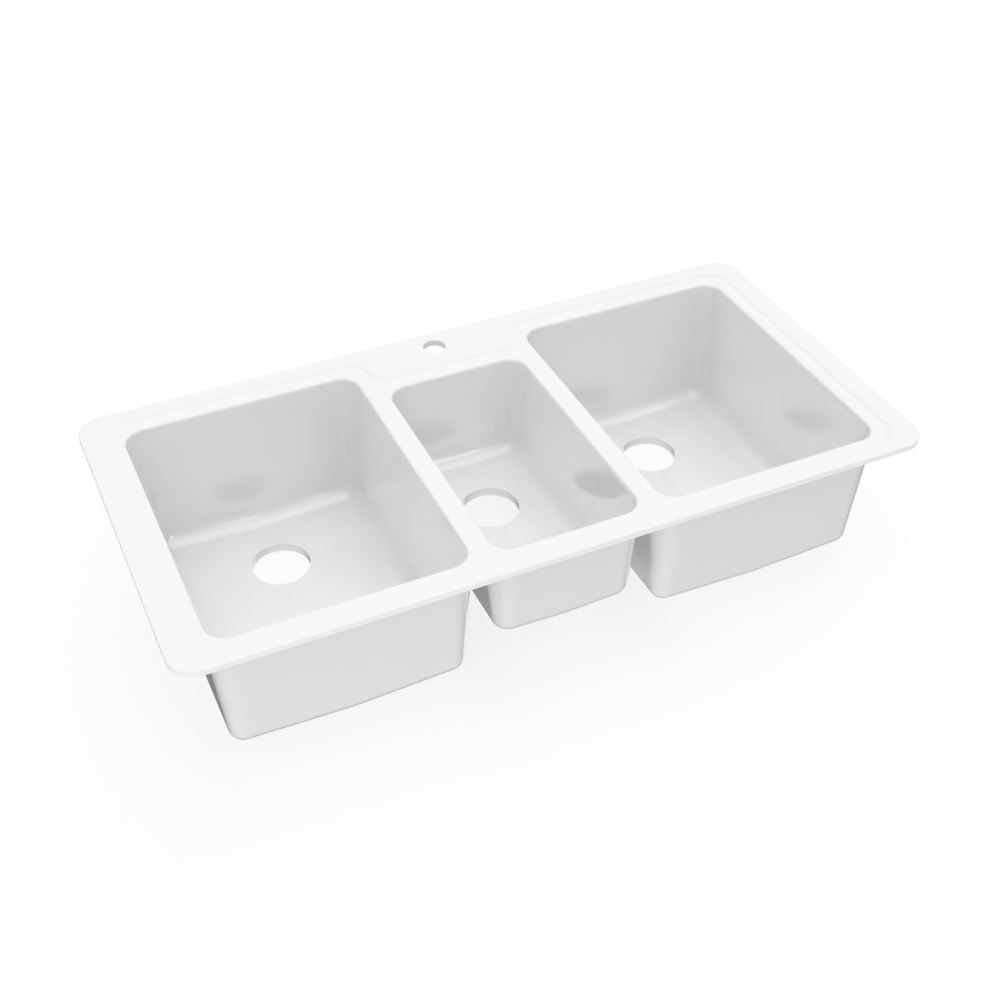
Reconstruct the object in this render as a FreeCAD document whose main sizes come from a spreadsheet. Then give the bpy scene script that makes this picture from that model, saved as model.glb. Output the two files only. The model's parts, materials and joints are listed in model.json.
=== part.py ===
import FreeCAD, Part
import os

import Sketcher

# Drop-in three compartment sink, in millimetres.
# +X runs along the rim, +Y points to the back, +Z is up.
# The origin is under the middle of the rim, level with the lowest drain boss.

Vector = FreeCAD.Vector

DRIVING = {
    # overall
    "total_height": 233.5,
    "rim_half_width": 558.8,
    "rim_half_depth": 279.4,
    "rim_corner": 37.0,
    "deck_thickness": 10.0,
    "rim_edge_round": 2.0,
    "under_edge_round": 1.0,
    # sunken inner deck and the raised tap ledge that juts into it
    "recess_depth": 3.0,
    "recess_front": 252.0,
    "recess_side": 521.0,
    "recess_back": 247.0,
    "recess_corner": 34.0,
    "riser_slope": 65.0,
    "riser_round": 4.0,
    "ledge_half_width": 122.0,
    "ledge_front": 188.0,
    "ledge_corner": 27.0,
    # openings, measured wall to wall where they leave the inner deck
    "opening_front": 235.5,
    "big_inner": 143.5,
    "big_outer": 501.5,
    "big_back": 226.5,
    "mid_half": 111.0,
    "mid_back": 166.5,
    "opening_corner": 30.0,
    "opening_round": 4.0,
    "draft_ratio": 0.076,
    # tap hole
    "tap_hole_radius": 17.5,
    "tap_hole_back": 242.0,
    # bowls
    "wall": 7.5,
    "seam": 1.0,
    "flange_out": 7.0,
    "flange_thickness": 8.0,
    "bottom_round": 21.0,
    "floor_pitch": 0.044,
    "drain_radius": 45.0,
    "boss_radius": 56.0,
    "boss_drop": 4.0,
    "boss_bite": 5.5,
    "drain_cut": 30.0,
    # the sloping underside of a bowl is ruled between three profiles
    "profile_half": 200.0,
    "profile_low": 12.0,
    "profile_front": 250.0,
    "big_profile_back": 240.0,
    "mid_profile_back": 180.0,
    # heights of the underside above the origin, along the middle of each bowl
    "big_under_front": 9.0,
    "big_under_drain": 4.0,
    "big_under_back": 9.0,
    "big_drain_back": 98.0,
    "mid_under_front": 58.5,
    "mid_under_drain": 54.0,
    "mid_under_back": 63.0,
    "mid_drain_back": 31.0,
    # seal between the rim and the worktop
    "seal_inset": 3.0,
    "seal_width": 9.0,
    "seal_thickness": 2.0,
    # hold-down clamps
    "clamp_side": 531.0,
    "clamp_side_back": 150.0,
    "clamp_back": 255.0,
    "clamp_back_side": 322.5,
    "insert_radius": 4.5,
    "insert_length": 6.0,
    "stud_radius": 3.0,
    "stud_length": 51.0,
    "stud_grip": 5.0,
    "arm_drop": 32.0,
    "arm_thickness": 3.0,
    "arm_half": 8.0,
    "arm_tip_corner": 2.0,
    "arm_heel_corner": 7.9,
    "arm_toe_corner": 1.0,
    "arm_reach": 36.0,
    "arm_hole": 3.3,
    "arm_toe": 5.0,
    "washer_radius": 7.5,
    "washer_thickness": 1.5,
    "clamp_gap": 0.3,
    "nut_radius": 5.5,
    "nut_height": 6.0,
    "wing_span": 26.0,
    "wing_height": 9.0,
    "wing_thickness": 2.0,
}

doc = FreeCAD.newDocument("three_compartment_sink")
sheet = doc.addObject("Spreadsheet::Sheet", "dims")
size = dict(DRIVING)
size["deck_under"] = size["total_height"] - size["deck_thickness"]
size["deck_inner_top"] = size["total_height"] - size["recess_depth"]
size["bowl_top"] = size["deck_under"] - size["seam"]
size["bowl_inset"] = (size["deck_inner_top"] - size["bowl_top"]) * size["draft_ratio"]
size["big_middle"] = 0.5 * (size["big_outer"] + size["big_inner"])
size["pitch_rise"] = size["floor_pitch"] * size["profile_half"]
size["flange_inner"] = 0.5 * size["wall"]
size["seam_inset"] = (size["deck_inner_top"] - size["deck_under"]) * size["draft_ratio"]
for row, (alias, value) in enumerate(size.items(), start=1):
    sheet.set("A%d" % row, alias)
    sheet.set("B%d" % row, "%.5f" % value)
    sheet.setAlias("B%d" % row, alias)
doc.recompute()


# ---------------------------------------------------------------- helpers

def total(terms):
    """The value of a signed sum of aliases, such as ("big_outer", "-wall")."""
    return sum(-size[t[1:]] if t.startswith("-") else size[t] for t in terms)


def formula(terms):
    """The same sum as an expression on the sheet."""
    parts = ["- dims." + t[1:] if t.startswith("-") else "+ dims." + t for t in terms]
    return " ".join(parts).lstrip("+ ")


def new_body(label):
    body = doc.addObject("PartDesign::Body", label)
    body.Label = label
    return body


def new_sketch(body, name, plane="XY_Plane", offset=None):
    """A sketch on one of the body's own origin planes, moved along its normal by a sum."""
    sketch = body.newObject("Sketcher::SketchObject", name)
    datum = [o for o in body.Origin.OriginFeatures if o.Role == plane][0]
    sketch.AttachmentSupport = [(datum, "")]
    sketch.MapMode = "FlatFace"
    if offset:
        sketch.setExpression("AttachmentOffset.Base.z", formula(offset))
    return sketch


def pin_point(sketch, geometry, end, axis, sign, terms):
    """Hold one point at sign * sum(terms) along an axis."""
    kind = "Distance" + axis
    first, second = ((-1, 1), (geometry, end)) if sign > 0 else ((geometry, end), (-1, 1))
    number = sketch.addConstraint(
        Sketcher.Constraint(kind, first[0], first[1], second[0], second[1], total(terms)))
    sketch.setExpression("Constraints[%d]" % number, formula(terms))


def outline(sketch, sides, corners):
    """A closed outline of straight sides along X and Y, with a tangent arc at every corner.

    A side is (axis, sign, terms): it lies at sign * sum(terms) on that axis. Corner n
    joins side n to the next one.
    """
    count = len(sides)
    places = [sign * total(terms) for axis, sign, terms in sides]
    points = []
    for n in range(count):
        here, after = places[n], places[(n + 1) % count]
        points.append(Vector(here, after, 0) if sides[n][0] == "X" else Vector(after, here, 0))
    lines = []
    for n in range(count):
        start, end = points[n - 1], points[n]
        along = (end - start).normalize()
        first = start + along * total(corners[n - 1])
        last = end - along * total(corners[n])
        lines.append(sketch.addGeometry(Part.LineSegment(first, last), False))
        level = "Vertical" if sides[n][0] == "X" else "Horizontal"
        sketch.addConstraint(Sketcher.Constraint(level, lines[n]))
    for n in range(count):
        incoming = sketch.Geometry[lines[n]]
        outgoing = sketch.Geometry[lines[(n + 1) % count]]
        arc = corner_arc(incoming, outgoing, points[n])
        number = sketch.addGeometry(arc, False)
        left_turn = turn(incoming, outgoing) > 0
        ends = (1, 2) if left_turn else (2, 1)
        sketch.addConstraint(Sketcher.Constraint("Tangent", lines[n], 2, number, ends[0]))
        sketch.addConstraint(
            Sketcher.Constraint("Tangent", number, ends[1], lines[(n + 1) % count], 1))
        radius = sketch.addConstraint(Sketcher.Constraint("Radius", number, total(corners[n])))
        sketch.setExpression("Constraints[%d]" % radius, formula(corners[n]))
    for n, (axis, sign, terms) in enumerate(sides):
        pin_point(sketch, lines[n], 1, axis, sign, terms)


def turn(incoming, outgoing):
    before = incoming.EndPoint - incoming.StartPoint
    after = outgoing.EndPoint - outgoing.StartPoint
    return before.cross(after).z


def corner_arc(incoming, outgoing, corner):
    start, end = incoming.EndPoint, outgoing.StartPoint
    centre = start + end - corner
    middle = centre + (corner - centre).normalize() * start.distanceToPoint(centre)
    return Part.Arc(start, middle, end)


def box_sides(low_x, high_x, front, back):
    """Sides of a rounded rectangle, each bound given as (sign, terms)."""
    return [("Y",) + front, ("X",) + high_x, ("Y",) + back, ("X",) + low_x]


def circle(sketch, x_place, y_place, radius):
    """A circle whose centre is (sign, terms) along X and Y; a None place is on the axis."""
    spot = [0 if place is None else place[0] * total(place[1]) for place in (x_place, y_place)]
    number = sketch.addGeometry(
        Part.Circle(Vector(spot[0], spot[1], 0), Vector(0, 0, 1), total(radius)), False)
    for axis, origin_line, place in (("X", -2, x_place), ("Y", -1, y_place)):
        if place is None:
            sketch.addConstraint(Sketcher.Constraint("PointOnObject", number, 3, origin_line))
        else:
            pin_point(sketch, number, 3, axis, place[0], place[1])
    bound = sketch.addConstraint(Sketcher.Constraint("Radius", number, total(radius)))
    sketch.setExpression("Constraints[%d]" % bound, formula(radius))


def pad(body, name, sketch, length, down=False, taper=None):
    feature = body.newObject("PartDesign::Pad", name)
    feature.Profile = sketch
    feature.Reversed = down
    feature.setExpression("Length", formula(length))
    if taper:
        feature.setExpression("TaperAngle", taper)
    doc.recompute()
    return feature


def pocket(body, name, sketch, length=None, upward=False, taper=None):
    """Cut from the sketch downward, or upward, by a length or right through."""
    before = body.Shape.Volume
    feature = body.newObject("PartDesign::Pocket", name)
    feature.Profile = sketch
    feature.Reversed = upward
    if length:
        feature.setExpression("Length", formula(length))
    else:
        feature.Type = "ThroughAll"
    if taper:
        feature.setExpression("TaperAngle", taper)
    doc.recompute()
    if body.Shape.Volume > before - 1.0:
        raise RuntimeError(name + " cut nothing")
    return feature


def edges_where(shape, test):
    """Names of the edges whose bounding box passes the test."""
    return ["Edge%d" % n for n, edge in enumerate(shape.Edges, start=1) if test(edge.BoundBox)]


def round_edges(body, name, base, edges, radius):
    feature = body.newObject("PartDesign::Fillet", name)
    feature.Base = (base, edges)
    feature.setExpression("Radius", formula(radius))
    doc.recompute()
    return feature


def near(value, target, slack=0.05):
    return abs(value - target) < slack


# The three compartments: the sign and place of each side, and the drain's place.
COMPARTMENTS = {
    "left": {
        "low_x": (-1, ("big_outer",)), "high_x": (-1, ("big_inner",)), "back": "big_back",
        "middle": (-1, ("big_middle",)), "kind": "big"},
    "middle": {
        "low_x": (-1, ("mid_half",)), "high_x": (1, ("mid_half",)), "back": "mid_back",
        "middle": None, "kind": "mid"},
    "right": {
        "low_x": (1, ("big_inner",)), "high_x": (1, ("big_outer",)), "back": "big_back",
        "middle": (1, ("big_middle",)), "kind": "big"},
}


# The hold-down clamps: the sign and place of each stud, and the way its parked arm
# points, in degrees from +X.
CLAMPS = [
    {"x": (-1, ("clamp_side",)), "y": (-1, ("clamp_side_back",)), "rest": 90},
    {"x": (-1, ("clamp_side",)), "y": (1, ("clamp_side_back",)), "rest": 90},
    {"x": (-1, ("clamp_back_side",)), "y": (1, ("clamp_back",)), "rest": 0},
    {"x": (1, ("clamp_back_side",)), "y": (1, ("clamp_back",)), "rest": 180},
    {"x": (1, ("clamp_side",)), "y": (1, ("clamp_side_back",)), "rest": 90},
    {"x": (1, ("clamp_side",)), "y": (-1, ("clamp_side_back",)), "rest": 90},
]


def opening_sides(side, grow):
    """Sides of a compartment's opening, moved outward by the sum `grow`."""
    place = COMPARTMENTS[side]

    def moved(bound, outward):
        sign, terms = bound
        flip = sign * outward < 0
        added = tuple(opposite(t) for t in grow) if flip else grow
        return (sign, terms + added)

    return box_sides(moved(place["low_x"], -1), moved(place["high_x"], 1),
                     moved((-1, ("opening_front",)), -1), moved((1, (place["back"],)), 1))


def opposite(term):
    return term[1:] if term.startswith("-") else "-" + term


DRAFT = "atan(dims.draft_ratio)"


# ------------------------------------------------------------------- deck

def make_deck():
    """Rim, sunken inner deck and tap ledge in one moulded sheet with four openings."""
    body = new_body("deck")
    rim = new_sketch(body, "rim_outline", offset=("deck_under",))
    outline(rim, box_sides((-1, ("rim_half_width",)), (1, ("rim_half_width",)),
                           (-1, ("rim_half_depth",)), (1, ("rim_half_depth",))),
            [("rim_corner",)] * 4)
    pad(body, "slab", rim, ("deck_thickness",))

    recess = new_sketch(body, "recess_outline", offset=("deck_inner_top",))
    ledge = (1, ("ledge_half_width",))
    outline(recess, [("Y", -1, ("recess_front",)), ("X", 1, ("recess_side",)),
                     ("Y", 1, ("recess_back",)), ("X",) + ledge,
                     ("Y", 1, ("ledge_front",)), ("X", -1, ledge[1]),
                     ("Y", 1, ("recess_back",)), ("X", -1, ("recess_side",))],
            [("recess_corner",)] * 2 + [("ledge_corner",)] * 4 + [("recess_corner",)] * 2)
    pocket(body, "inner_deck", recess, ("recess_depth",), upward=True,
           taper="dims.riser_slope")

    for side in COMPARTMENTS:
        cut = new_sketch(body, side + "_opening_outline", offset=("deck_inner_top",))
        outline(cut, opening_sides(side, ()), [("opening_corner",)] * 4)
        pocket(body, side + "_opening", cut, ("deck_thickness",), taper="-" + DRAFT)

    tap = new_sketch(body, "tap_hole_outline", offset=("total_height",))
    circle(tap, None, (1, ("tap_hole_back",)), ("tap_hole_radius",))
    pocket(body, "tap_hole", tap, ("total_height",))

    seats = new_sketch(body, "insert_seats_outline", offset=("deck_under",))
    for clamp in CLAMPS:
        circle(seats, clamp["x"], clamp["y"], ("insert_radius",))
    seated = pocket(body, "insert_seats", seats, ("insert_length",), upward=True)
    return round_deck(body, seated)


def round_deck(body, last):
    """Soften the riser, the openings, the tap hole and the rim's own edges."""
    top = size["total_height"]
    inner = size["deck_inner_top"]

    def in_opening(box):
        return any(
            box.XMin > low - 0.1 and box.XMax < high + 0.1
            and box.YMin > -size["opening_front"] - 0.1 and box.YMax < back + 0.1
            for low, high, back in opening_bounds())

    def on_rim(box):
        across = max(-box.XMin, box.XMax) > size["rim_half_width"] - 0.1
        along = max(-box.YMin, box.YMax) > size["rim_half_depth"] - 0.1
        return across or along

    def in_tap_hole(box):
        return max(-box.XMin, box.XMax) < size["tap_hole_radius"] + 0.1

    def flat_at(box, level):
        return near(box.ZMin, level) and near(box.ZMax, level)

    steps = [
        ("opening_rounds", "opening_round", lambda b: flat_at(b, inner) and in_opening(b)),
        ("riser_foot", "riser_round", lambda b: flat_at(b, inner) and not in_opening(b)),
        ("riser_top", "riser_round",
         lambda b: flat_at(b, top) and not on_rim(b) and not in_tap_hole(b)),
        ("tap_hole_round", "under_edge_round",
         lambda b: flat_at(b, top) and not on_rim(b) and in_tap_hole(b)),
        ("rim_top_round", "rim_edge_round", lambda b: flat_at(b, top) and on_rim(b)),
        ("rim_under_round", "under_edge_round",
         lambda b: flat_at(b, size["deck_under"]) and on_rim(b)),
    ]
    for name, radius, test in steps:
        last = round_edges(body, name, last, edges_where(last.Shape, test), (radius,))
    return body


def opening_bounds():
    bounds = []
    for place in COMPARTMENTS.values():
        low, high = place["low_x"], place["high_x"]
        bounds.append((low[0] * total(low[1]), high[0] * total(high[1]), size[place["back"]]))
    return bounds


# ------------------------------------------------------------------ bowls

def polygon(sketch, points):
    """A closed polygon; each point is a pair of (sign, terms) places, None on the axis."""
    spots = [Vector(*[0 if p is None else p[0] * total(p[1]) for p in point], 0)
             for point in points]
    count = len(points)
    for n in range(count):
        sketch.addGeometry(Part.LineSegment(spots[n], spots[(n + 1) % count]), False)
    for n in range(count):
        sketch.addConstraint(Sketcher.Constraint("Coincident", n, 2, (n + 1) % count, 1))
    for n, point in enumerate(points):
        for axis, origin_line, place in zip("XY", (-2, -1), point):
            if place is None:
                sketch.addConstraint(Sketcher.Constraint("PointOnObject", n, 1, origin_line))
            else:
                pin_point(sketch, n, 1, axis, place[0], place[1])


def shifted(place, term):
    """A place moved towards +X by a cell's value, or towards -X if the term starts with -."""
    if place is None:
        return (-1, (opposite(term),)) if term.startswith("-") else (1, (term,))
    sign, terms = place
    return (sign, terms + ((term,) if sign > 0 else (opposite(term),)))


def underside_profile(body, name, side, station, heights):
    """What lies below the tub at one station: two planes that meet in a shallow valley."""
    middle = COMPARTMENTS[side]["middle"]
    sketch = new_sketch(body, name, "XZ_Plane", station)
    left, right = shifted(middle, "-profile_half"), shifted(middle, "profile_half")
    polygon(sketch, [
        (left, (-1, ("profile_low",))), (right, (-1, ("profile_low",))),
        (right, (1, heights + ("pitch_rise",))), (middle, (1, heights)),
        (left, (1, heights + ("pitch_rise",)))])
    return sketch


def make_tub(label, side, grow, lift, bottom_round=None):
    """A drafted block with a pitched underside: a bowl's outside, or its hollow.

    Its upright corners tighten with the draft, down to an edge of its own radius.
    Without a bottom_round, one radius rounds its corners and runs on around its underside.
    """
    kind = COMPARTMENTS[side]["kind"]
    body = new_body(label)
    top = new_sketch(body, label + "_outline", offset=("bowl_top",))
    grow = grow + ("-bowl_inset",)
    sides = opening_sides(side, grow)
    corner = ("opening_corner",) + grow
    if bottom_round:
        outline(top, sides, [corner] * 4)
    else:
        front, right, back, left = [bound[1:] for bound in sides]
        polygon(top, [(left, front), (right, front), (right, back), (left, back)])
    pad(body, label + "_block", top, ("bowl_top",), down=True, taper="-" + DRAFT)

    stations = [("-" + kind + "_profile_back", "_under_back"),
                ("-" + kind + "_drain_back", "_under_drain"),
                ("profile_front", "_under_front")]
    profiles = [underside_profile(body, label + height, side, (station,), (kind + height,) + lift)
                for station, height in stations]
    under = body.newObject("PartDesign::SubtractiveLoft", label + "_underside")
    under.Profile = profiles[0]
    under.Sections = profiles[1:]
    under.Ruled = True
    doc.recompute()

    middle_place = COMPARTMENTS[side]["middle"]
    middle = middle_place[0] * size["big_middle"] if middle_place else 0.0

    def rounded(box):
        valley = near(box.XMin, middle) and near(box.XMax, middle)
        crease = near(box.YMin, box.YMax) and near(box.YMin, size[kind + "_drain_back"])
        above = near(box.ZMax if bottom_round else box.ZMin, size["bowl_top"])
        return not (valley or crease or above)

    round_edges(body, label + "_rounds", under, edges_where(under.Shape, rounded),
                bottom_round or corner)
    return body


def make_bowl(side):
    """A drafted bowl with a pitched floor, a bonding flange and a bossed drain hole."""
    place = COMPARTMENTS[side]
    kind = place["kind"]
    outside = make_tub(side + "_outside", side, ("wall",), (), ("bottom_round",))
    flange = new_sketch(outside, side + "_flange_outline", offset=("bowl_top",))
    for grow in (("wall", "flange_out", "-bowl_inset"), ("flange_inner", "-bowl_inset")):
        outline(flange, opening_sides(side, grow), [("opening_corner",) + grow] * 4)
    pad(outside, side + "_flange", flange, ("flange_thickness",), down=True)
    drain_place = (1, (kind + "_drain_back",))
    boss = new_sketch(outside, side + "_boss_outline", offset=(kind + "_under_drain", "-boss_drop"))
    circle(boss, place["middle"], drain_place, ("boss_radius",))
    pad(outside, side + "_boss", boss, ("boss_drop", "boss_bite"))

    hollow = make_tub(side + "_hollow", side, (), ("wall",))
    drain = new_body(side + "_drain")
    hole = new_sketch(drain, side + "_drain_outline", offset=(kind + "_under_drain", "-boss_drop"))
    circle(hole, place["middle"], drain_place, ("drain_radius",))
    pad(drain, side + "_drain_plug", hole, ("drain_cut",))

    tools = doc.addObject("Part::Fuse", side + "_space")
    tools.Base = hollow
    tools.Tool = drain
    bowl = doc.addObject("Part::Cut", side + "_bowl")
    bowl.Base = outside
    bowl.Tool = tools
    bowl.Label = side + "_bowl"
    doc.recompute()
    return bowl


def make_seam(side):
    """The bed of colour-matched adhesive between a bowl's flange and the deck."""
    body = new_body(side + "_bowl_seam")
    ring = new_sketch(body, side + "_seam_outline", offset=("bowl_top",))
    for grow in (("wall", "flange_out", "-bowl_inset", "-seam"), ("-seam_inset",)):
        outline(ring, opening_sides(side, grow), [("opening_corner",) + grow] * 4)
    pad(body, side + "_seam", ring, ("seam",))
    return body


def make_rim_seal():
    """The sealing strip that beds the rim on the worktop."""
    body = new_body("rim_seal")
    ring = new_sketch(body, "seal_outline", offset=("deck_under",))
    for shrink in (("-seal_inset",), ("-seal_inset", "-seal_width")):
        across, along = ("rim_half_width",) + shrink, ("rim_half_depth",) + shrink
        outline(ring, box_sides((-1, across), (1, across), (-1, along), (1, along)),
                [("rim_corner",) + shrink] * 4)
    pad(body, "seal", ring, ("seal_thickness",), down=True)
    return body


# ----------------------------------------------------------------- clamps

def signed(place):
    sign, terms = place
    return formula(terms) if sign > 0 else "-(" + formula(terms) + ")"


def set_place(item, clamp, height):
    """Stand an object on a clamp's axis, with its base at a height."""
    item.setExpression("Placement.Base.x", signed(clamp["x"]))
    item.setExpression("Placement.Base.y", signed(clamp["y"]))
    item.setExpression("Placement.Base.z", formula(height))


def cylinder(name, clamp, height, radius, length):
    item = doc.addObject("Part::Cylinder", name)
    item.setExpression("Radius", formula(radius))
    item.setExpression("Height", formula(length))
    set_place(item, clamp, height)
    return item


def combine(kind, name, base, tool):
    item = doc.addObject(kind, name)
    item.Base = base
    item.Tool = tool
    return item


def make_insert(number, clamp):
    """A brass insert moulded into the deck, blind at its top."""
    low = ("deck_under",)
    shell = cylinder("insert_shell_%d" % number, clamp, low, ("insert_radius",),
                     ("insert_length",))
    bore = cylinder("insert_bore_%d" % number, clamp, low, ("stud_radius",), ("stud_grip",))
    return combine("Part::Cut", "insert_%d" % number, shell, bore)


def make_stud(number, clamp):
    return cylinder("stud_%d" % number, clamp, ("deck_under", "stud_grip", "-stud_length"),
                    ("stud_radius",), ("stud_length",))


def make_washer(number, clamp):
    low = ("deck_under", "-arm_drop", "-arm_thickness", "-clamp_gap", "-washer_thickness")
    disc = cylinder("washer_disc_%d" % number, clamp, low, ("washer_radius",),
                    ("washer_thickness",))
    bore = cylinder("washer_bore_%d" % number, clamp, low, ("arm_hole",), ("washer_thickness",))
    return combine("Part::Cut", "washer_%d" % number, disc, bore)


def make_wing_nut(number, clamp):
    """A hub with two wings that stand down past it, and a bore that fits the stud."""
    top = ("deck_under", "-arm_drop", "-arm_thickness", "-clamp_gap", "-washer_thickness")
    hub = cylinder("nut_hub_%d" % number, clamp, top + ("-nut_height",), ("nut_radius",),
                   ("nut_height",))
    wings = doc.addObject("Part::Box", "nut_wings_%d" % number)
    wings.setExpression("Length", "dims.wing_span")
    wings.setExpression("Width", "dims.wing_thickness")
    wings.setExpression("Height", "dims.wing_height")
    wings.setExpression("Placement.Base.x", signed(clamp["x"]) + " - dims.wing_span / 2")
    wings.setExpression("Placement.Base.y", signed(clamp["y"]) + " - dims.wing_thickness / 2")
    wings.setExpression("Placement.Base.z", formula(top + ("-wing_height",)))
    solid = combine("Part::Fuse", "nut_solid_%d" % number, hub, wings)
    bore = cylinder("nut_bore_%d" % number, clamp, top + ("-wing_height",), ("stud_radius",),
                    ("wing_height",))
    return combine("Part::Cut", "wing_nut_%d" % number, solid, bore)


def make_group(label, maker):
    """One node that holds the same fastener at every clamp."""
    group = doc.addObject("Part::Compound", label)
    group.Label = label
    group.Links = [maker(number, clamp) for number, clamp in enumerate(CLAMPS, start=1)]
    return group


def make_arm(number, clamp):
    """A steel strap that turns on its stud, with an upturned toe that bites the worktop."""
    label = "clamp_arm_%d" % number
    body = new_body(label)
    strap = new_sketch(body, label + "_outline")
    outline(strap, [("Y", -1, ("arm_half",)), ("X", 1, ("arm_reach",)),
                    ("Y", 1, ("arm_half",)), ("X", -1, ("arm_half",))],
            [("arm_tip_corner",)] * 2 + [("arm_heel_corner",)] * 2)
    pad(body, label + "_strap", strap, ("arm_thickness",))
    toe = new_sketch(body, label + "_toe_outline")
    outline(toe, [("Y", -1, ("arm_half",)), ("X", 1, ("arm_reach",)),
                  ("Y", 1, ("arm_half",)), ("X", 1, ("arm_reach", "-arm_thickness"))],
            [("arm_toe_corner",)] * 4)
    pad(body, label + "_toe", toe, ("arm_toe", "arm_thickness"))
    hole = new_sketch(body, label + "_hole_outline", offset=("arm_thickness",))
    circle(hole, None, None, ("arm_hole",))
    pocket(body, label + "_hole", hole, ("arm_thickness",))
    set_place(body, clamp, ("deck_under", "-arm_drop", "-arm_thickness"))
    body.Placement.Rotation = FreeCAD.Rotation(Vector(0, 0, 1), clamp["rest"])
    return body


# ----------------------------------------------------------------- build

parts = [make_deck()]
parts += [make_bowl(side) for side in COMPARTMENTS]
parts += [make_seam(side) for side in COMPARTMENTS]
parts += [make_rim_seal()]
parts += [make_group("clamp_inserts", make_insert), make_group("clamp_studs", make_stud),
          make_group("clamp_washers", make_washer), make_group("clamp_wing_nuts", make_wing_nut)]
parts += [make_arm(number, clamp) for number, clamp in enumerate(CLAMPS, start=1)]

doc.recompute()
for item in doc.Objects:
    if "Invalid" in item.State or "Error" in item.State:
        raise RuntimeError(item.Label + " failed")
for part in parts:
    if part.Shape.isNull() or not part.Shape.isValid():
        raise RuntimeError(part.Label + " has no valid shape")

os.makedirs("parts", exist_ok=True)
for part in parts:
    part.Shape.exportStep("parts/" + part.Label + ".step")
    print("%-18s %2d solids %10.0f mm3" % (part.Label, len(part.Shape.Solids), part.Shape.Volume))
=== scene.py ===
import json
import math

import bmesh
import bpy
from mathutils import Matrix, Vector, noise


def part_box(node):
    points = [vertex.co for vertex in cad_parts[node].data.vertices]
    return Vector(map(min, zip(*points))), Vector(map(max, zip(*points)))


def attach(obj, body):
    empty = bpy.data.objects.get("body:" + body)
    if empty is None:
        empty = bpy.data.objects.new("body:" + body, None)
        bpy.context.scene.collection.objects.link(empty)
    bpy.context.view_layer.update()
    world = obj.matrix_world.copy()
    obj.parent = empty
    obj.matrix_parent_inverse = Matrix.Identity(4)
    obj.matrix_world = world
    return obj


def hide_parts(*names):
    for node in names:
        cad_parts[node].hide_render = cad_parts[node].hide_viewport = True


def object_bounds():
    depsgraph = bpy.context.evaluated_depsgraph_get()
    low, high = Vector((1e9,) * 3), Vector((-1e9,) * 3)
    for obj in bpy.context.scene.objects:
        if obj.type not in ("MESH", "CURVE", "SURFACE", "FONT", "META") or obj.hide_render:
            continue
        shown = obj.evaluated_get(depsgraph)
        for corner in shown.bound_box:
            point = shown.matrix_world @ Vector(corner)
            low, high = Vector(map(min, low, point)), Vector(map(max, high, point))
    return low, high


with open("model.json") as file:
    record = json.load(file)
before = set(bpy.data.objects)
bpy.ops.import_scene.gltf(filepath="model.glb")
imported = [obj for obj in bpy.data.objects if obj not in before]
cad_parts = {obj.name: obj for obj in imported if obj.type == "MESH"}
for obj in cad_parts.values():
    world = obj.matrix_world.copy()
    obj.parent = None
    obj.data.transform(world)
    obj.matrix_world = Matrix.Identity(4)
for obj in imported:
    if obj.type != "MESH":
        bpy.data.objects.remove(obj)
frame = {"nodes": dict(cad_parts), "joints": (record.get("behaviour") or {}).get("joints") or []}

# A white drop-in triple-bowl sink, in metres: +X along the rim, +Y to the back, +Z up.

MM = 0.001
CAD_BOX = [list(corner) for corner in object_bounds()]
LOW, HIGH = Vector(CAD_BOX[0]), Vector(CAD_BOX[1])
CENTRE = (LOW + HIGH) / 2
NODES = frame["nodes"]
BOWLS = ("left_bowl", "middle_bowl", "right_bowl")
# Every clamp arm turns on the axis of its stud: the arm's body and a point on that axis.
STUDS = [(joint["child"], Vector(joint["pos_m"])) for joint in frame["joints"]]


# ----------------------------------------------------------------- materials

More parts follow.
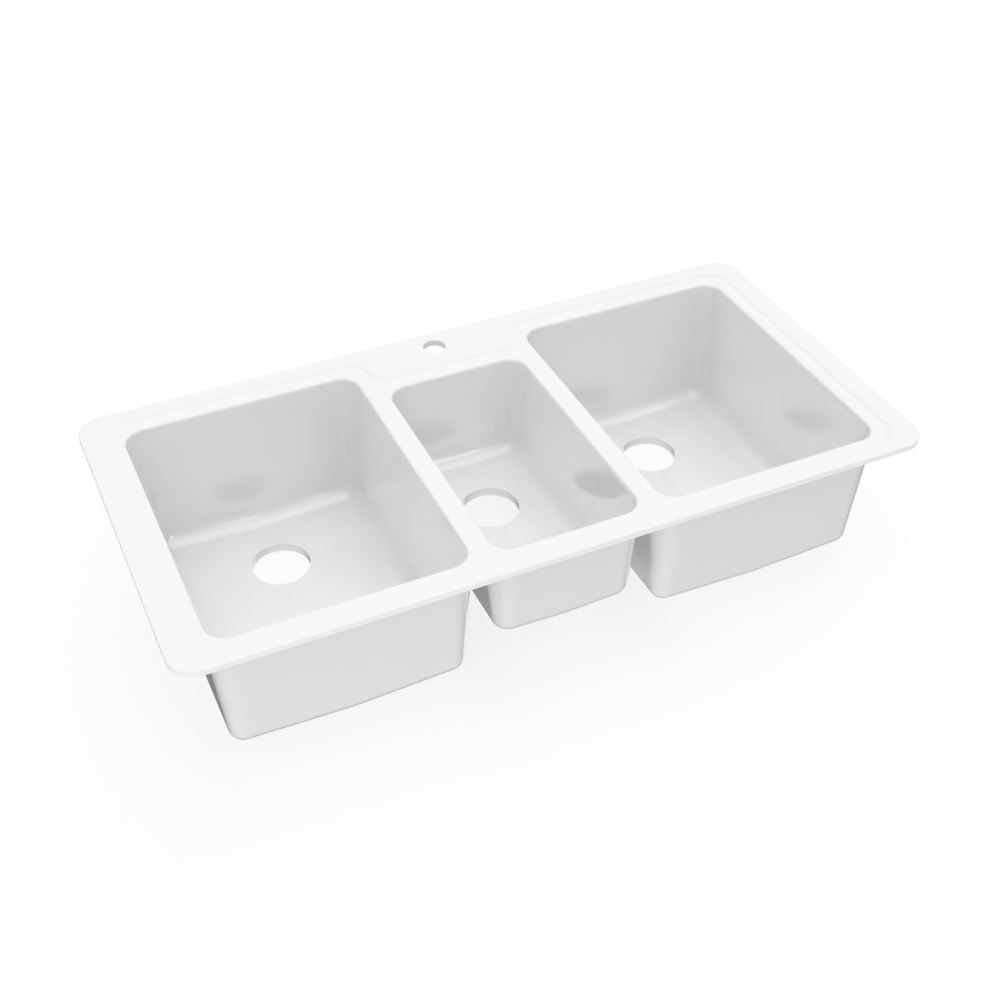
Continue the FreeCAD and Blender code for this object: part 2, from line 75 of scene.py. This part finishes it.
class Shader:
    """A short way to build one procedural material on a Principled shader."""

    def __init__(self, name):
        self.material = bpy.data.materials.new(name)
        self.material.use_nodes = True
        self.nodes = self.material.node_tree.nodes
        self.links = self.material.node_tree.links
        self.surface = self.nodes["Principled BSDF"]
        self.place = self.nodes.new("ShaderNodeTexCoord").outputs["Object"]

    def stretched(self, x, y, z):
        """Object coordinates scaled by a factor along each axis."""
        node = self.nodes.new("ShaderNodeMapping")
        node.inputs["Scale"].default_value = (x, y, z)
        self.links.new(self.place, node.inputs["Vector"])
        return node.outputs["Vector"]

    def noise(self, scale, detail=3.0, roughness=0.5, place=None):
        node = self.nodes.new("ShaderNodeTexNoise")
        node.inputs["Scale"].default_value = scale
        node.inputs["Detail"].default_value = detail
        node.inputs["Roughness"].default_value = roughness
        self.links.new(place or self.place, node.inputs["Vector"])
        return node.outputs["Fac"]

    def cells(self, scale):
        node = self.nodes.new("ShaderNodeTexVoronoi")
        node.inputs["Scale"].default_value = scale
        self.links.new(self.place, node.inputs["Vector"])
        return node.outputs["Distance"]

    def remap(self, value, from_low, from_high, to_low, to_high):
        node = self.nodes.new("ShaderNodeMapRange")
        limits = (from_low, from_high, to_low, to_high)
        for number, limit in enumerate(limits, start=1):
            node.inputs[number].default_value = limit
        self.links.new(value, node.inputs["Value"])
        return node.outputs["Result"]

    def blend(self, factor, low, high):
        """Mix two colours, each a colour or another node's output, by a factor."""
        node = self.nodes.new("ShaderNodeMix")
        node.data_type = "RGBA"
        self.links.new(factor, node.inputs["Factor"])
        for socket, colour in ((node.inputs[6], low), (node.inputs[7], high)):
            if isinstance(colour, bpy.types.NodeSocket):
                self.links.new(colour, socket)
            else:
                socket.default_value = (*colour, 1.0)
        return node.outputs[2]

    def sum(self, first, second):
        node = self.nodes.new("ShaderNodeMath")
        self.links.new(first, node.inputs[0])
        self.links.new(second, node.inputs[1])
        return node.outputs[0]

    def bump(self, value, distance):
        node = self.nodes.new("ShaderNodeBump")
        node.inputs["Distance"].default_value = distance
        node.inputs["Strength"].default_value = 1.0
        self.links.new(value, node.inputs["Height"])
        self.links.new(node.outputs["Normal"], self.surface.inputs["Normal"])

    def drive(self, socket, value):
        self.links.new(value, self.surface.inputs[socket])

    def fix(self, **values):
        for socket, value in values.items():
            self.surface.inputs[socket.replace("_", " ")].default_value = value


def scaled(colour, factor):
    return tuple(channel * factor for channel in colour)


def moulded_white(name, colour, gloss, specular, coat):
    """Filled acrylic: nearly uniform, with faint clouds, fine filler and an orange peel."""
    shader = Shader(name)
    clouds = shader.remap(shader.noise(4.0, 1.0), 0.35, 0.65, 0.0, 1.0)
    cloudy = shader.blend(clouds, scaled(colour, 0.993), colour)
    fleck = shader.remap(shader.noise(1500.0, 1.0), 0.68, 0.74, 0.0, 1.0)
    shader.drive("Base Color", shader.blend(fleck, cloudy, scaled(colour, 0.97)))
    wiped = shader.noise(9.0, 2.0)
    shader.drive("Roughness", shader.remap(wiped, 0.3, 0.7, gloss - 0.01, gloss + 0.01))
    peel = shader.noise(220.0, 1.0)
    shader.bump(peel, 0.01 * MM)
    shader.fix(IOR=1.55, Specular_IOR_Level=specular)
    shader.fix(Coat_Weight=coat, Coat_Roughness=0.11, Coat_IOR=1.7)
    return shader.material


def adhesive(name, colour):
    """Set adhesive, a little creamier than the sink, with a wavy tooled skin."""
    shader = Shader(name)
    tint = shader.remap(shader.noise(60.0, 3.0), 0.35, 0.65, 0.0, 1.0)
    shader.drive("Base Color", shader.blend(tint, scaled(colour, 0.95), colour))
    shader.drive("Roughness", shader.remap(shader.noise(150.0), 0.3, 0.7, 0.3, 0.42))
    shader.bump(shader.noise(400.0, 3.0), 0.12 * MM)
    shader.fix(IOR=1.45)
    return shader.material


def foam(name, colour):
    """Closed-cell sealing strip: pale, matt and finely pored."""
    shader = Shader(name)
    pores = shader.cells(1500.0)
    open_pore = shader.remap(pores, 0.05, 0.35, 0.0, 1.0)
    shader.drive("Base Color", shader.blend(open_pore, scaled(colour, 0.78), colour))
    shader.drive("Roughness", shader.remap(shader.noise(300.0), 0.3, 0.7, 0.82, 0.95))
    skin = shader.sum(open_pore, shader.noise(500.0, 3.0))
    shader.bump(skin, 0.15 * MM)
    shader.fix(IOR=1.4)
    return shader.material


def zinc_steel(name, bright, dull, grain):
    """Zinc-plated pressed steel: a cloudy passivated film over fine rolling lines."""
    shader = Shader(name)
    film = shader.remap(shader.noise(90.0, 4.0, 0.6), 0.35, 0.65, 0.0, 1.0)
    spangle = shader.remap(shader.cells(420.0), 0.1, 0.6, 0.0, 1.0)
    shader.drive("Base Color", shader.blend(film, dull, shader.blend(spangle, bright, dull)))
    lines = shader.noise(160.0, 3.0, 0.5, shader.stretched(*grain))
    rough = shader.sum(shader.remap(film, 0.0, 1.0, 0.3, 0.2),
                       shader.remap(lines, 0.3, 0.7, 0.0, 0.16))
    shader.drive("Roughness", rough)
    shader.bump(lines, 0.02 * MM)
    shader.fix(Metallic=1.0)
    return shader.material


def cast_brass(name, bright, dull):
    """Tumbled brass: warm, with darker tarnish in patches and a sandy cast skin."""
    shader = Shader(name)
    tarnish = shader.remap(shader.noise(120.0, 4.0, 0.6), 0.4, 0.7, 0.0, 1.0)
    shader.drive("Base Color", shader.blend(tarnish, bright, dull))
    shader.drive("Roughness", shader.remap(shader.noise(500.0, 3.0), 0.3, 0.7, 0.24, 0.42))
    shader.bump(shader.noise(900.0, 3.0), 0.05 * MM)
    shader.fix(Metallic=1.0)
    return shader.material


def dress(node, material):
    mesh = NODES[node].data
    mesh.materials.clear()
    mesh.materials.append(material)


def soften(node, width):
    """Break a CAD node's sharp edges, as tumbling or trimming does."""
    bevel = NODES[node].modifiers.new("edge", "BEVEL")
    bevel.width = width
    bevel.segments = 2
    bevel.limit_method = "ANGLE"
    bevel.angle_limit = math.radians(50)
    bevel.harden_normals = True


WHITE = (0.905, 0.905, 0.902)
DECK = moulded_white("deck_white", WHITE, 0.5, 0.3, 0.0)
BOWL = moulded_white("bowl_white", scaled(WHITE, 0.985), 0.15, 0.5, 1.0)
SEAM = adhesive("seam_adhesive", scaled(WHITE, 0.985))
SEAL = foam("seal_foam", (0.86, 0.86, 0.84))
ARM_STEEL = zinc_steel("zinc_arm", (0.82, 0.83, 0.85), (0.62, 0.65, 0.66), (1.0, 14.0, 14.0))
ROD_STEEL = zinc_steel("zinc_rod", (0.80, 0.81, 0.83), (0.60, 0.63, 0.64), (14.0, 14.0, 1.0))
BRASS = cast_brass("brass", (0.83, 0.66, 0.34), (0.58, 0.42, 0.20))

dress("deck", DECK)
for bowl in BOWLS:
    dress(bowl, BOWL)
    dress(bowl + "_seam", SEAM)
dress("rim_seal", SEAL)
dress("clamp_inserts", BRASS)
dress("clamp_washers", ROD_STEEL)
soften("rim_seal", 0.6 * MM)
soften("clamp_washers", 0.3 * MM)


# ------------------------------------------------------------ mesh building

def finish_piece(name, form, material, smooth_angle):
    """Turn a bmesh into a smooth-shaded object with one material."""
    bmesh.ops.recalc_face_normals(form, faces=form.faces)
    mesh = bpy.data.meshes.new(name)
    form.to_mesh(mesh)
    form.free()
    mesh.materials.append(material)
    mesh.shade_smooth()
    mesh.set_sharp_from_angle(angle=math.radians(smooth_angle))
    piece = bpy.data.objects.new(name, mesh)
    bpy.context.scene.collection.objects.link(piece)
    return piece


def ring(form, centre, radius_at, height, steps):
    """One level ring of vertices; radius_at gives its radius at an angle."""
    verts = []
    for step in range(steps):
        angle = 2 * math.pi * step / steps
        radius = radius_at(angle)
        spot = (radius * math.cos(angle), radius * math.sin(angle), height)
        verts.append(form.verts.new(centre + Vector(spot)))
    return verts


def bridge(form, first, second):
    count = len(first)
    for n in range(count):
        after = (n + 1) % count
        form.faces.new((first[n], first[after], second[after], second[n]))


def turned(form, centre, profile):
    """Turn a closed profile of (radius, height) points about the upright axis at centre."""
    rings = [ring(form, centre, lambda angle, r=radius: r, height, 36)
             for radius, height in profile]
    for first, second in zip(rings, rings[1:] + rings[:1]):
        bridge(form, first, second)


# ------------------------------------------------------------------- studs

THREAD_PITCH = 1.0 * MM
THREAD_DEPTH = 0.55 * MM
# A triangle wave is steepened and lowered by these, and its ends clipped to flats.
THREAD_FLANK = 1.7
THREAD_FLAT = 0.35
RINGS_PER_PITCH = 6
POINTS_PER_TURN = 20


def thread_radius(angle, height, ends, radius):
    """The rod's radius on a right-hand thread that fades out in the end chamfers."""
    phase = (height / THREAD_PITCH - angle / (2 * math.pi)) % 1.0
    crest = min(max(THREAD_FLANK * abs(2 * phase - 1) - THREAD_FLAT, 0.0), 1.0)
    chamfer = min(min(height - ends[0], ends[1] - height) / THREAD_PITCH, 1.0)
    return radius - THREAD_DEPTH * (1.0 - crest * chamfer)


def make_studs():
    """Threaded rods that stand down from the inserts, as one piece of separate rods."""
    low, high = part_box("clamp_studs")
    radius = (high.x - low.x) / 2 - max(abs(axis.x) for _, axis in STUDS)
    count = round((high.z - low.z) / THREAD_PITCH * RINGS_PER_PITCH)
    form = bmesh.new()
    for _, axis in STUDS:
        centre = Vector((axis.x, axis.y, 0.0))
        rings = []
        for step in range(count + 1):
            height = low.z + (high.z - low.z) * step / count
            rings.append(ring(form, centre, lambda angle, z=height: thread_radius(
                angle, z, (low.z, high.z), radius), height, POINTS_PER_TURN))
        for first, second in zip(rings, rings[1:]):
            bridge(form, first, second)
        form.faces.new(reversed(rings[0]))
        form.faces.new(rings[-1])
    studs = finish_piece("threaded_studs", form, ROD_STEEL, 30)
    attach(studs, "sink")
    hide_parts("clamp_studs")


# --------------------------------------------------------------- wing nuts

HUB_RADIUS = 5.5 * MM
HUB_HEIGHT = 6.0 * MM
NUT_BORE = 2.9 * MM
NUT_CHAMFER = 0.5 * MM
EAR_ROOT = 3.6 * MM
EAR_THICKNESS = 2.0 * MM
EAR_ROUNDING = 0.55 * MM
# Shares of an ear's depth: its tip's radius, how far down its root starts and ends, and
# how far out and down the hollow above its root's foot lies.
EAR_TIP = 0.41
EAR_ROOT_TOP = 0.10
EAR_ROOT_FOOT = 0.62
EAR_HOLLOW_OUT = 0.22
EAR_HOLLOW_DOWN = 0.60


def ear_outline(reach, depth):
    """A wing's outline in its own upright plane, from its root round its tip and back."""
    tip = EAR_TIP * depth
    middle = Vector((reach - tip, -(depth - tip)))
    points = [Vector((EAR_ROOT, -EAR_ROOT_TOP * depth))]
    for degrees in range(75, -166, -15):
        angle = math.radians(degrees)
        points.append(middle + tip * Vector((math.cos(angle), math.sin(angle))))
    points.append(Vector((EAR_ROOT + EAR_HOLLOW_OUT * depth, -EAR_HOLLOW_DOWN * depth)))
    points.append(Vector((EAR_ROOT, -EAR_ROOT_FOOT * depth)))
    return points


def make_wing_nuts():
    """Brass wing nuts: a tapered hub with two rounded ears that stand down past it."""
    low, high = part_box("clamp_wing_nuts")
    depth = high.z - low.z
    reach = high.x - max(axis.x for _, axis in STUDS)
    hub, height, mouth = HUB_RADIUS, HUB_HEIGHT, NUT_BORE + NUT_CHAMFER
    profile = [(mouth, 0.0), (hub - 0.3 * MM, 0.0), (hub, -0.3 * MM),
               (hub - 0.2 * MM, -0.4 * height), (0.80 * hub, -0.88 * height),
               (0.74 * hub, -height), (mouth, -height),
               (NUT_BORE, -height + NUT_CHAMFER), (NUT_BORE, -NUT_CHAMFER)]
    form = bmesh.new()
    for _, axis in STUDS:
        centre = Vector((axis.x, axis.y, high.z))
        turned(form, centre, profile)
        for side in (1, -1):
            make_ear(form, centre, side, reach, depth)
    nuts = finish_piece("wing_nuts", form, BRASS, 40)
    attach(nuts, "sink")
    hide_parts("clamp_wing_nuts")


def make_ear(form, centre, side, reach, depth):
    """One ear, an even plate with rounded rims, on one side of its hub."""
    outline = ear_outline(reach, depth)
    half = EAR_THICKNESS / 2
    faces = []
    for across in (-half, half):
        verts = [form.verts.new(centre + Vector((side * p.x, across, p.y))) for p in outline]
        faces.append(form.faces.new(verts))
    front, back = (list(face.verts) for face in faces)
    bridge(form, front, back)
    rims = [edge for face in faces for edge in face.edges]
    bmesh.ops.bevel(form, geom=rims, offset=EAR_ROUNDING, segments=3, profile=0.6,
                    affect="EDGES")


# --------------------------------------------------------------- clamp arms

ARM_SHEET = 2.0 * MM
ARM_RIB = 1.0 * MM
ARM_HALF = 8.0 * MM
ARM_HOLE = 3.3 * MM
ARM_REACH = 36.0 * MM
ARM_BEND = 2.5 * MM
ARM_TOE_STEPS = (1.2 * MM, 2.2 * MM)
ARM_TOOTH = 1.3 * MM
ARM_ROWS = 8
RIB_START = 9.0 * MM
RIB_END = 31.0 * MM
RIB_RUN_OUT = 4.0 * MM
RIB_HALF = 4.5 * MM


def heel_edge():
    """Points once round the strap's end, from its right edge through the round heel."""
    points = [Vector((ARM_HALF, ARM_HALF * (2 * n / ARM_ROWS - 1))) for n in range(ARM_ROWS + 1)]
    points += [Vector((ARM_HALF * (1 - n / 4), ARM_HALF)) for n in range(1, 5)]
    for n in range(1, 16):
        angle = math.pi * (0.5 + n / 16)
        points.append(ARM_HALF * Vector((math.cos(angle), math.sin(angle))))
    points += [Vector((ARM_HALF * n / 4, -ARM_HALF)) for n in range(4)]
    return points


def rib_height(x, y):
    """The stiffening rib that is pressed up along the strap's middle."""
    along = min(max((x - RIB_START) / RIB_RUN_OUT, 0.0), 1.0)
    along *= min(max((RIB_END - x) / RIB_RUN_OUT, 0.0), 1.0)
    across = max(1.0 - (abs(y) / RIB_HALF) ** 2, 0.0)
    return ARM_RIB * along * across


def strap_path():
    """The sheet's upper face seen from the side: level, round a bend and up the toe."""
    flat_end = ARM_REACH - ARM_SHEET - ARM_BEND
    path = [(ARM_HALF + (flat_end - ARM_HALF) * n / 16, ARM_SHEET) for n in range(1, 17)]
    for n in range(1, 7):
        angle = math.radians(90 * n / 6)
        path.append((flat_end + ARM_BEND * math.sin(angle),
                     ARM_SHEET + ARM_BEND * (1 - math.cos(angle))))
    path += [(ARM_REACH - ARM_SHEET, ARM_SHEET + ARM_BEND + rise) for rise in ARM_TOE_STEPS]
    return path


def make_arm(body, axis):
    """A pressed steel strap with a ribbed back and a toothed toe, about its stud."""
    node = "clamp_" + body
    low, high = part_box(node)
    middle = (low + high) / 2 - axis
    form = bmesh.new()
    edge = heel_edge()
    loops = []
    for share in (0.0, 0.25, 0.5, 0.75, 1.0):
        loops.append([form.verts.new((*(ARM_HOLE * p.normalized()).lerp(p, share), ARM_SHEET))
                      for p in edge])
    for first, second in zip(loops, loops[1:]):
        bridge(form, first, second)
    row = loops[-1][:ARM_ROWS + 1]
    for x, z in strap_path():
        verts = []
        for n in range(ARM_ROWS + 1):
            y = ARM_HALF * (2 * n / ARM_ROWS - 1)
            verts.append(form.verts.new((x, y, z + rib_height(x, y))))
        for n in range(ARM_ROWS):
            form.faces.new((row[n], verts[n], verts[n + 1], row[n + 1]))
        row = verts
    cut_teeth(form, row)
    turn = Matrix.Rotation(math.atan2(middle.y, middle.x), 4, "Z")
    place = Matrix.Translation(Vector((axis.x, axis.y, low.z))) @ turn
    bmesh.ops.transform(form, matrix=place, verts=form.verts)
    arm = finish_piece(body + "_strap", form, ARM_STEEL, 50)
    sheet = arm.modifiers.new("sheet", "SOLIDIFY")
    sheet.thickness = ARM_SHEET
    sheet.offset = -1.0
    rim = arm.modifiers.new("rim", "BEVEL")
    rim.width = 0.25 * MM
    rim.segments = 2
    rim.limit_method = "ANGLE"
    rim.angle_limit = math.radians(60)
    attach(arm, body)
    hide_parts(node)


def cut_teeth(form, row):
    """A saw of pointed teeth along the toe's upper edge."""
    for n in range(len(row) - 1):
        first, second = row[n], row[n + 1]
        point = form.verts.new((first.co + second.co) / 2 + Vector((0, 0, ARM_TOOTH)))
        form.faces.new((first, point, second))


# ------------------------------------------------------------ adhesive bead

FLANGE_CORNER = 43.0 * MM
BEAD_RADIUS = 1.7 * MM
BEAD_SWELL = 0.5 * MM
BEAD_SPREAD = 0.8
BEAD_STEP = 4.0 * MM


def flange_path(half):
    """Points once round a bowl's flange about its middle, each with its outward direction."""
    path = []
    for quarter in range(4):
        centre = Vector((half.x - FLANGE_CORNER, half.y - FLANGE_CORNER))
        centre.x *= 1 if quarter in (0, 3) else -1
        centre.y *= 1 if quarter in (0, 1) else -1
        for n in range(13):
            angle = math.pi / 2 * (quarter + n / 12)
            out = Vector((math.cos(angle), math.sin(angle)))
            path.append((centre + FLANGE_CORNER * out, out))
    return spaced(path, BEAD_STEP)


def make_bead(bowl):
    """The adhesive that squeezed out all round a bowl's flange and was left to set."""
    low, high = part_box(bowl)
    deck_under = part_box("rim_seal")[1].z
    middle = (low + high) / 2
    half = Vector((high.x - low.x, high.y - low.y)) / 2
    form = bmesh.new()
    rings = []
    for spot, out in flange_path(half):
        here = Vector((middle.x + spot.x, middle.y + spot.y, deck_under))
        swell = noise.noise(here * 40.0) + 0.5 * noise.noise(here * 130.0)
        radius = BEAD_RADIUS + BEAD_SWELL * swell
        verts = []
        for n in range(9):
            angle = math.pi * n / 8
            side = Vector((out.x, out.y, 0.0)) * radius * math.cos(angle) * BEAD_SPREAD
            verts.append(form.verts.new(here + side - Vector((0, 0, radius * math.sin(angle)))))
        rings.append(verts)
    for first, second in zip(rings, rings[1:] + rings[:1]):
        bridge(form, first, second)
    bead = finish_piece(bowl + "_bead", form, SEAM, 80)
    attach(bead, "sink")


def spaced(path, gap):
    """Split the straight stretches of a closed path so that no step is over the gap."""
    result = []
    for (here, out), (after, next_out) in zip(path, path[1:] + path[:1]):
        steps = max(1, math.ceil((after - here).length / gap))
        for n in range(steps):
            result.append((here.lerp(after, n / steps), out.lerp(next_out, n / steps)))
    return result


make_studs()
make_wing_nuts()
for arm_body, arm_axis in STUDS:
    make_arm(arm_body, arm_axis)
for bowl in BOWLS:
    make_bead(bowl)


# --------------------------------------------------------------------- stage

# Brightness of the surroundings, against the sine of the height above the horizon.
GLOW = ((-0.60, 0.15), (-0.15, 0.40), (0.05, 0.55), (0.50, 0.65), (1.0, 1.38))

FLOOR_HALF = 12.0
FLOOR_GAP = 0.5 * MM


def make_floor():
    """A pale plane that glows softly and takes the sink's shadow. It shows in no gloss, and
    it neither lights the sink nor blocks light, so that lights below it can reach the sink."""
    mesh = bpy.data.meshes.new("floor")
    form = bmesh.new()
    bmesh.ops.create_grid(form, x_segments=8, y_segments=8, size=FLOOR_HALF)
    form.to_mesh(mesh)
    form.free()
    floor = bpy.data.objects.new("floor", mesh)
    bpy.context.scene.collection.objects.link(floor)
    floor.location.z = LOW.z - FLOOR_GAP
    floor.visible_glossy = False
    floor.visible_diffuse = False
    floor.visible_shadow = False
    material = bpy.data.materials.new("floor_pale")
    material.use_nodes = True
    surface = material.node_tree.nodes["Principled BSDF"]
    surface.inputs["Base Color"].default_value = (0.24, 0.24, 0.245, 1.0)
    surface.inputs["Roughness"].default_value = 0.9
    surface.inputs["Specular IOR Level"].default_value = 0.0
    surface.inputs["Emission Color"].default_value = (0.975, 0.98, 1.0, 1.0)
    surface.inputs["Emission Strength"].default_value = 0.77
    mesh.materials.append(material)


def make_world():
    """A sky that is brightest overhead and falls off to a dark ground."""
    world = bpy.data.worlds.new("studio")
    bpy.context.scene.world = world
    world.use_nodes = True
    tree = world.node_tree
    place = tree.nodes.new("ShaderNodeTexCoord")
    split = tree.nodes.new("ShaderNodeSeparateXYZ")
    ramp = tree.nodes.new("ShaderNodeValToRGB")
    tree.links.new(place.outputs["Generated"], split.inputs[0])
    shift = tree.nodes.new("ShaderNodeMapRange")
    for number, value in enumerate((-1.0, 1.0, 0.0, 1.0), start=1):
        shift.inputs[number].default_value = value
    tree.links.new(split.outputs["Z"], shift.inputs["Value"])
    tree.links.new(shift.outputs["Result"], ramp.inputs["Fac"])
    for _ in GLOW[2:]:
        ramp.color_ramp.elements.new(0.5)
    brightest = max(level for _, level in GLOW)
    for element, (height, level) in zip(ramp.color_ramp.elements, GLOW):
        share = level / brightest
        element.position = (height + 1.0) / 2
        element.color = (share, share, share, 1.0)
    tree.links.new(ramp.outputs["Color"], tree.nodes["Background"].inputs["Color"])
    tree.nodes["Background"].inputs["Strength"].default_value = brightest


def area_light(name, place, size, radiance, diffuse=True, glossy=True):
    """A round softbox aimed at the sink; its power follows from its brightness."""
    data = bpy.data.lights.new(name, "AREA")
    data.shape = "DISK"
    data.size = size
    data.energy = radiance * math.pi * math.pi * (size / 2) ** 2
    light = bpy.data.objects.new(name, data)
    bpy.context.scene.collection.objects.link(light)
    light.location = place
    light.visible_diffuse = diffuse
    light.visible_glossy = glossy
    aim = CENTRE - Vector(place)
    light.rotation_euler = aim.to_track_quat("-Z", "Y").to_euler()


def make_sun(direction, spread, share):
    """A very soft sun that gives a surface facing it a share of full white."""
    data = bpy.data.lights.new("sun", "SUN")
    data.angle = math.radians(spread)
    data.energy = math.pi * share
    light = bpy.data.objects.new("sun", data)
    bpy.context.scene.collection.objects.link(light)
    light.visible_glossy = False
    light.rotation_euler = Vector(direction).to_track_quat("Z", "Y").to_euler()


CAMERA_LENS = 50.96
CAMERA_TURN = math.radians(24.86)
CAMERA_TILT = math.radians(40.19)
CAMERA_DISTANCE = 2.126
CAMERA_AIM = CENTRE + Vector((-0.0063, -0.0162, 0.0))


def make_camera():
    """Above and in front of the sink, to its left, as a buyer would look down at it."""
    data = bpy.data.cameras.new("camera")
    data.lens = CAMERA_LENS
    camera = bpy.data.objects.new("camera", data)
    bpy.context.scene.collection.objects.link(camera)
    level = math.cos(CAMERA_TILT)
    back = Vector((-math.sin(CAMERA_TURN) * level, -math.cos(CAMERA_TURN) * level,
                   math.sin(CAMERA_TILT)))
    camera.location = CAMERA_AIM + back * CAMERA_DISTANCE
    camera.rotation_euler = (-back).to_track_quat("-Z", "Y").to_euler()
    bpy.context.scene.camera = camera


make_floor()
make_world()
make_sun((0.5, 0.6, 0.62), 50.0, 0.13)
# The softboxes and the glow only show in gloss. The fills and the bounce, most of them
# below the floor, only give light.
area_light("softbox", (0.4, -0.5, 2.5), 3.0, 0.5, diffuse=False)
area_light("front_softbox", (0.95, -2.8, 2.0), 1.4, 1.6, diffuse=False)
area_light("front_fill", (-0.7, -3.2, -0.5), 2.2, 2.7, glossy=False)
area_light("left_fill", (-3.2, -0.6, -0.4), 2.0, 2.0, glossy=False)
area_light("right_fill", (3.2, -0.6, -0.4), 2.0, 1.4, glossy=False)
area_light("ground_bounce", (0.0, 0.0, -1.5), 6.0, 0.55, glossy=False)
area_light("back_glow", (1.8, 2.0, -1.9), 3.6, 0.7, diffuse=False)
make_camera()
bpy.context.scene.view_settings.view_transform = "Standard"
